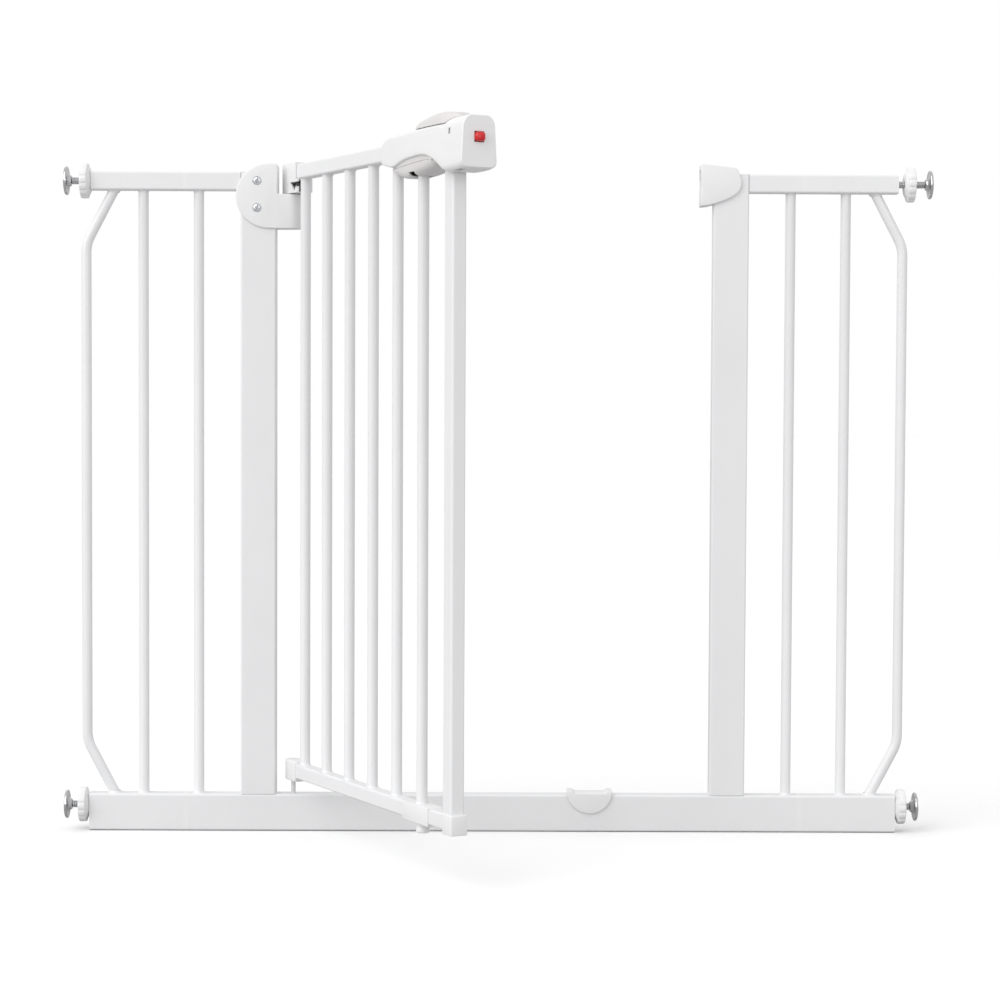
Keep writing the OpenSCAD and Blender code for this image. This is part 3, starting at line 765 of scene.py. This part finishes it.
# the handle's tables are (place along the door, measure); heights count up from base
base = lowOf("handle_back_cover")[2] - 4
grip, reach = 244, 436
boltLow, boltHigh = lowOf("latch_bolt")[2], highOf("latch_bolt")[2]
boltMiddle = (boltLow + boltHigh) / 2
handle = dict(
    width=[(244, 10.6), (270, 12.8), (300, 15), (330, 17.4), (355, 18.9), (436, 19.3)],
    top=[(244, 36.2), (248, 38.2), (254, 40.2), (262, 41.5), (272, 42), (300, 42.3), (330, 42.3),
         (389, 42.3), (394, 43), (399, 45.6), (405, 47.3), (412, 47.5), (436, 47.5)],
    bottom=[(244, 16), (258, 13), (268, 11.3), (278, 11), (292, 13.8), (307, 15.7), (338, 16.8),
            (354, 16.2), (366, 13.7), (381, 7.6), (394, -1.5), (400, -3.2), (426, -3), (436, -1.8)],
    crown=[(244, 3), (300, 4), (330, 3.5), (386, 3.5), (396, 7.5), (406, 10.5), (436, 10.5)],
    foot=[(244, 2), (380, 2.2), (396, 5.5), (436, 6.5)],
    taper=[(244, 0.04), (330, 0.06), (390, 0.08), (408, 0.13), (436, 0.14)],
    backPlate=[(357.7, 18.7), (357.7, 32.3), (430.3, 32.3), (430.3, 3.7), (399.7, 3.7),
               (385.7, 9.7)],
    wall=2.2, edge=1.1, headStart=397.5,
)
# openings in the shell, each as two corners of a block
handleCuts = {
    "rail": ((230, -7.6, 18.9), (256, 7.6, 35.1)),
    "upright": ((378.8, -7.7, -20), (397.2, 7.7, 8)),
    "stem": ((335, -4.2, 38), (353.2, 4.2, 47.5)),
    "pinhole": ((406.8, -22, 31.4), (410.4, -12, 37)),
    "drain": ((414, -15, -8), (428, -9, 5)),
}


def handleSection(station):
    edge = handle["edge"]
    inset = max(0, edge - (reach - station), edge - (station - grip)) * 0.85
    width = curveAt(handle["width"], station) - inset
    top = base + curveAt(handle["top"], station) - inset
    low = base + curveAt(handle["bottom"], station) + inset
    return sectionOf(width, low, top, curveAt(handle["foot"], station),
                     curveAt(handle["crown"], station), curveAt(handle["taper"], station))


def stationsBetween(start, end, gap, ends=(0, 0.25, 0.7, 1.3, 2)):
    # evenly spaced, with closer stations where the ends are rounded
    count = round((end - start - 4) / gap)
    inner = [start + 2 + (end - start - 4) * i / count for i in range(1, count)]
    return [start + e for e in ends] + inner + [end - e for e in reversed(ends)]


def cavitySection(station):
    wall = handle["wall"]
    width = curveAt(handle["width"], station) - wall
    top = base + curveAt(handle["top"], station) - wall
    # open below, except under the head
    low = base - 14 if station < handle["headStart"] else base + wall
    crown = max(curveAt(handle["crown"], station) - wall + 0.6, 0.5)
    return sectionOf(width, low, top, 0.5, crown, curveAt(handle["taper"], station))


def handleCut(name):
    low, high = handleCuts[name]
    return blockFrom(name, (low[0], low[1], base + low[2]), (high[0], high[1], base + high[2]))


def makeHandleShell():
    shell = lofted("handle_shell_moulded", stationsBetween(grip, reach, 4.5), handleSection)
    wall = handle["wall"]
    inside = [grip + wall] + [252 + 6 * i for i in range(25)]
    inside += [397.4, 398.6, 404, 412, 420, 428, reach - wall]
    cavity = lofted("cavity", inside, cavitySection)
    backPlate = [(x, 16.3, base + z) for x, z in handle["backPlate"]]
    cutOut(shell, cavity,
           handleCut("rail"), handleCut("upright"),
           blockFrom("bolt", (reach - 8, -5.1, boltLow - 0.3), (reach + 3, 5.1, boltHigh + 0.3)),
           handleCut("stem"), handleCut("pinhole"), handleCut("drain"),
           plateFrom("back", backPlate, (0, 6, 0)))
    placed(toDoor(smoothed(shell, 32)), "gate", "white_plastic", "handle_shell")


makeHandleShell()
print("handle shell made")

slide = dict(
    start=330, end=409, seat=42.9, edge=1.4,
    crest=[(330, 4.8), (333, 6.1), (340, 7.8), (352, 9.4), (368, 10.9), (384, 11.4), (396, 10.7),
           (404, 9.1), (409, 7.3)],
    under=[(330, -0.3), (389, -0.3), (394, 0.4), (399, 3), (405, 4.7), (409, 4.9)],
    width=[(330, 14.8), (336, 15.8), (350, 17.2), (375, 17.6), (389, 17), (396, 13.5), (402, 10.6),
           (409, 7.8)],
)


def slideSection(station):
    low = base + slide["seat"] + curveAt(slide["under"], station)
    top = max(base + slide["seat"] + curveAt(slide["crest"], station), low + 0.6)
    inset = max(0, slide["edge"] - min(station - slide["start"], slide["end"] - station)) * 0.9
    width = curveAt(slide["width"], station) - inset
    return sectionOf(width, low, top - inset * 0.8, 0.35, min(6.5, (top - low) * 0.72), 0.16)


slideStations = stationsBetween(slide["start"], slide["end"], 3, (0, 0.2, 0.5, 0.9, 1.6))
thumbSlide = lofted("thumb_slide_moulded", slideStations, slideSection)
placed(toDoor(smoothed(thumbSlide, 50)), "thumb_slide", "grey_plastic", "thumb_slide")

lever = dict(
    start=271, end=376, wall=1.6, seamHalf=0.22, barStart=312.5, barEnd=326.5,
    width=[(271, 9.9), (285, 11.3), (300, 12.5), (330, 14.9), (355, 16.1), (376, 16.2)],
    bottom=[(271, 7.5), (276, 4), (284, 0.8), (293, -1.2), (302, -2), (318, -1.7), (330, -0.8),
            (341, 0.3), (354, 1.9), (368, 4.4), (376, 8)],
    top=[(271, 10.8), (290, 14), (320, 16.6), (354, 17.2), (376, 16)],
    seam=[(271, 9.2), (300, 10.2), (323, 10.9), (353, 11.5), (376, 11)],
)


def leverSection(station):
    low = base + curveAt(lever["bottom"], station)
    top = base + curveAt(lever["top"], station)
    width = curveAt(lever["width"], station)
    return sectionOf(width, low, max(top, low + 1.2), min(6.5, (top - low) * 0.6), 0.3)


def leverCavity(station):
    low = base + curveAt(lever["bottom"], station) + lever["wall"]
    width = curveAt(lever["width"], station) - lever["wall"]
    roof = base + 24
    return sectionOf(width, low, roof, min(5, roof - low), 0.3)


def leverCore(station):
    return sectionOf(curveAt(lever["width"], station) - 0.8, base - 5, base + 25, 1, 1)


def makeLever():
    start, barStart, barEnd = lever["start"], lever["barStart"], lever["barEnd"]
    leverStations = stationsBetween(start, lever["end"], 3.5, (0, 0.5, 1.2))
    piece = lofted("squeeze_lever_moulded", leverStations, leverSection)
    cavity = lofted("cavity", [276 + 5 * i for i in range(18)], leverCavity)
    pivot = Vector(joints["lever_squeeze"]["pos_m"]) / mm
    # the seam is a shallow groove round the outside
    seamRun = [start + 3.5 * i for i in range(31)]
    seamLine = [(place, base + curveAt(lever["seam"], place)) for place in seamRun]
    seamHalf = lever["seamHalf"]
    upper = [(place, 20, z + seamHalf) for place, z in seamLine]
    lower = [(place, 20, z - seamHalf) for place, z in reversed(seamLine)]
    groove = plateFrom("groove", upper + lower, (0, -40, 0))
    cutOut(groove, lofted("core", seamRun, leverCore))
    cutOut(piece, cavity, groove,
           blockFrom("bar_space", (barStart, -20, base - 12), (barEnd, 7, base + 3.2)),
           blockFrom("bar_top", (barStart, -7, base), (barEnd, 7, base + 6)),
           rodFrom("pin_space", (370, 0, pivot.z), 2.05, 60, "Y"))
    placed(toDoor(smoothed(piece, 40)), "squeeze_lever", "grey_plastic", "squeeze_lever")


makeLever()

# the marker shows through the small hole in the handle's side
bolt = dict(start=376, end=441, size=9.6, edge=2.4, slack=0.4, markerStart=404, markerEnd=414,
            markerReach=16, springMiddle=380, springRadius=2.6, springDepth=24)
half, slack = bolt["size"] / 2, bolt["slack"]
latchBolt = blockFrom("latch_bolt_moulded", (bolt["start"], -half, boltLow + slack),
                      (bolt["end"], half, boltHigh - slack))
rounded(latchBolt, bolt["edge"], 2)
marker = blockFrom("marker", (bolt["markerStart"], -bolt["markerReach"], boltLow + 1),
                   (bolt["markerEnd"], -half + 1, boltHigh - 0.6))
joinedWith(latchBolt, marker)
cutOut(latchBolt, rodFrom("spring_space", (bolt["springMiddle"], 0, boltMiddle),
                          bolt["springRadius"], bolt["springDepth"], "X"))
placed(toDoor(smoothed(latchBolt, 50)), "latch_bolt", "red_plastic", "latch_bolt")
print("handle made")


# latch post

# outline lists (distance from the lip, height) from the lip's foot round to its top
strikerLook = dict(
    halfDepth=13.5, edge=1.5, scallop=0.5, scallopTop=33, scallopHeight=21, postLeft=236.5,
    postHalf=10.05, screwInset=3.5, screwRadius=3.9, screwFace=13.4, screwSink=0.6,
    outline=[(0, 0), (8, 0.9), (14, 2.5), (20, 4.3), (26, 6.5), (31.5, 8.9), (36, 11.5),
             (39.4, 14.2), (41.9, 17.4), (43.4, 20.8), (43.95, 24.5), (43.7, 29), (41.4, 36),
             (39.9, 39.3), (38.4, 41), (36, 41.9), (18, 43.9), (2, 45.7), (0.6, 45.6), (0, 44.4)],
)


def makeStriker():
    lip, foot = lowOf("striker")[0], lowOf("striker")[2]
    sag, height = strikerLook["scallop"], strikerLook["scallopHeight"]
    scallop = [(sag * math.sin(math.pi * i / 10), strikerLook["scallopTop"] - height * i / 10)
               for i in range(11)]
    depth, postHalf = strikerLook["halfDepth"], strikerLook["postHalf"]
    outline = [(lip + x, depth, foot + z) for x, z in strikerLook["outline"] + scallop]
    piece = plateFrom("striker_moulded", outline, (0, -2 * depth, 0))
    rounded(piece, strikerLook["edge"], 4, 50)
    railTop = highOf("latch_post")[2]
    cutOut(piece,
           blockFrom("post", (strikerLook["postLeft"], -postHalf, 0),
                     (300, postHalf, railTop + 0.05)),
           blockFrom("pocket", (lip - 2, -7, boltMiddle - 6), (lip + 10, 7, boltMiddle + 6)))
    placed(smoothed(piece, 35), "frame", "white_plastic", "striker")


makeStriker()
rearX, *rearHeights = screwPlaces("striker_screws", strikerLook["screwInset"])
heads = [panScrew("striker_screw_heads", (rearX, strikerLook["screwFace"], z), 1,
                  strikerLook["screwRadius"]) for z in rearHeights]
for head in heads:
    head.data.transform(Matrix.Translation((0, -strikerLook["screwSink"] * mm, 0)))
placed(joinedWith(*heads), "frame", "zinc_screws", "striker_screws")
print("striker made")

saddle = dict(radius=24.5, ribTop=44.5, floorTop=42, halfDepth=12.5, notch=17, edge=0.7,
              railHalf=10.05, railTop=40.05, grooveStart=3.4, grooveGap=1.9, grooveRadius=0.6)


def makeSaddle():
    middle, railHalf = middleOf("saddle_stop")[0], saddle["railHalf"]
    depth, radius, notch = saddle["halfDepth"], saddle["radius"], saddle["notch"]
    outline = arc(middle, saddle["ribTop"], radius, 180, 360, 40)
    outline += [(middle + notch + 2, saddle["ribTop"]), (middle + notch - 1, saddle["floorTop"]),
                (middle - notch + 1, saddle["floorTop"]), (middle - notch - 2, saddle["ribTop"])]
    corners = [(x, depth, z) for x, z in outline]
    piece = plateFrom("saddle_stop_moulded", corners, (0, -2 * depth, 0))
    rounded(piece, saddle["edge"], 3, 50)
    cutters = [blockFrom("rail", (middle - 40, -railHalf, -1),
                         (middle + 40, railHalf, saddle["railTop"]))]
    for side in (-1, 1):
        for k in range(3):
            x = middle + side * (notch + saddle["grooveStart"] + k * saddle["grooveGap"])
            place = (x, 0, saddle["ribTop"] + 0.25)
            cutters.append(rodFrom("groove", place, saddle["grooveRadius"], 40, "Y", 12))
    cutOut(piece, *cutters)
    placed(smoothed(piece, 35), "frame", "white_plastic", "saddle_stop")


makeSaddle()
print("saddle made")


# floor, light and camera

# the floor is white to the camera and darker to bounced light; lamps are (place, size, watts)
studio = dict(floorSize=60, floorDrop=0.0005, floorTone=1.0, floorBounce=0.46, world=0.83,
              horizon=0.76, horizonLow=0.02, horizonHigh=0.38, backdrop=1.0,
              sunStrength=1.15, sunFrom=(-1, -0.75, 0.8), sunSpread=60, aim=(0, -0.1, 0.4),
              lamps={"leftKey": ((-3.0, -2.6, 1.7), 2.4, 18),
                     "rightFill": ((2.2, -4.0, 1.2), 2.0, 20)})

nothingSelected()
bpy.ops.mesh.primitive_plane_add(size=studio["floorSize"], location=(0, 0, -studio["floorDrop"]))
floor = bpy.context.object
floor.name = "floor"
floorFinish = bpy.data.materials.new("floorFinish")
floorFinish.use_nodes = True
floorNodes, floorLinks = floorFinish.node_tree.nodes, floorFinish.node_tree.links
floorShader = floorNodes["Principled BSDF"]
floorShader.inputs["Roughness"].default_value = 0.9
seen = floorNodes.new("ShaderNodeLightPath")
floorTone = floorNodes.new("ShaderNodeMapRange")
floorTone.inputs["To Min"].default_value = studio["floorBounce"]
floorTone.inputs["To Max"].default_value = studio["floorTone"]
floorLinks.new(seen.outputs["Is Camera Ray"], floorTone.inputs["Value"])
floorLinks.new(floorTone.outputs["Result"], floorShader.inputs["Base Color"])
floor.data.materials.append(floorFinish)

world = bpy.data.worlds.new("studio")
bpy.context.scene.world = world
world.use_nodes = True
worldNodes = world.node_tree.nodes
worldLinks = world.node_tree.links
surround = worldNodes["Background"]
surround.inputs["Strength"].default_value = studio["world"]
direction = worldNodes.new("ShaderNodeTexCoord")
heightSplit = worldNodes.new("ShaderNodeSeparateXYZ")
skyTone = worldNodes.new("ShaderNodeMapRange")
skyTone.interpolation_type = "SMOOTHSTEP"
skyTone.inputs["From Min"].default_value = studio["horizonLow"]
skyTone.inputs["From Max"].default_value = studio["horizonHigh"]
skyTone.inputs["To Min"].default_value = studio["horizon"]
skyTone.inputs["To Max"].default_value = 1
worldLinks.new(direction.outputs["Generated"], heightSplit.inputs["Vector"])
worldLinks.new(heightSplit.outputs["Z"], skyTone.inputs["Value"])
worldLinks.new(skyTone.outputs["Result"], surround.inputs["Color"])
backdrop = worldNodes.new("ShaderNodeBackground")
backdrop.inputs["Color"].default_value = (1, 1, 1, 1)
backdrop.inputs["Strength"].default_value = studio["backdrop"]
lightPath = worldNodes.new("ShaderNodeLightPath")
worldMix = worldNodes.new("ShaderNodeMixShader")
worldLinks.new(lightPath.outputs["Is Camera Ray"], worldMix.inputs["Fac"])
worldLinks.new(surround.outputs["Background"], worldMix.inputs[1])
worldLinks.new(backdrop.outputs["Background"], worldMix.inputs[2])
worldLinks.new(worldMix.outputs["Shader"], worldNodes["World Output"].inputs["Surface"])

nothingSelected()
bpy.ops.object.light_add(type="SUN", location=(0, 0, 3))
sun = bpy.context.object
sun.name = "overheadSun"
sun.data.energy = studio["sunStrength"]
sun.data.angle = math.radians(studio["sunSpread"])
sun.rotation_euler = Vector(studio["sunFrom"]).to_track_quat("Z", "Y").to_euler()
for name, (place, size, power) in studio["lamps"].items():
    nothingSelected()
    bpy.ops.object.light_add(type="AREA", location=place)
    lamp = bpy.context.object
    lamp.name = name
    lamp.data.size = size
    lamp.data.energy = power
    aim = Vector(studio["aim"]) - lamp.location
    lamp.rotation_euler = aim.to_track_quat("-Z", "Y").to_euler()

view = dict(place=(-12.4, -2683.4, 471.4), down=2.339, right=0.41, roll=0.257, lens=88.66,
            sensor=36)
cameraData = bpy.data.cameras.new("camera")
camera = bpy.data.objects.new("camera", cameraData)
bpy.context.scene.collection.objects.link(camera)
camera.matrix_world = (Matrix.Translation(Vector(view["place"]) * mm)
                       @ Matrix.Rotation(math.radians(-view["right"]), 4, "Z")
                       @ Matrix.Rotation(math.radians(90 - view["down"]), 4, "X")
                       @ Matrix.Rotation(math.radians(view["roll"]), 4, "Z"))
cameraData.sensor_width = view["sensor"]
cameraData.lens = view["lens"]
bpy.context.scene.camera = camera
bpy.context.scene.view_settings.view_transform = "Standard"

print("stage set")
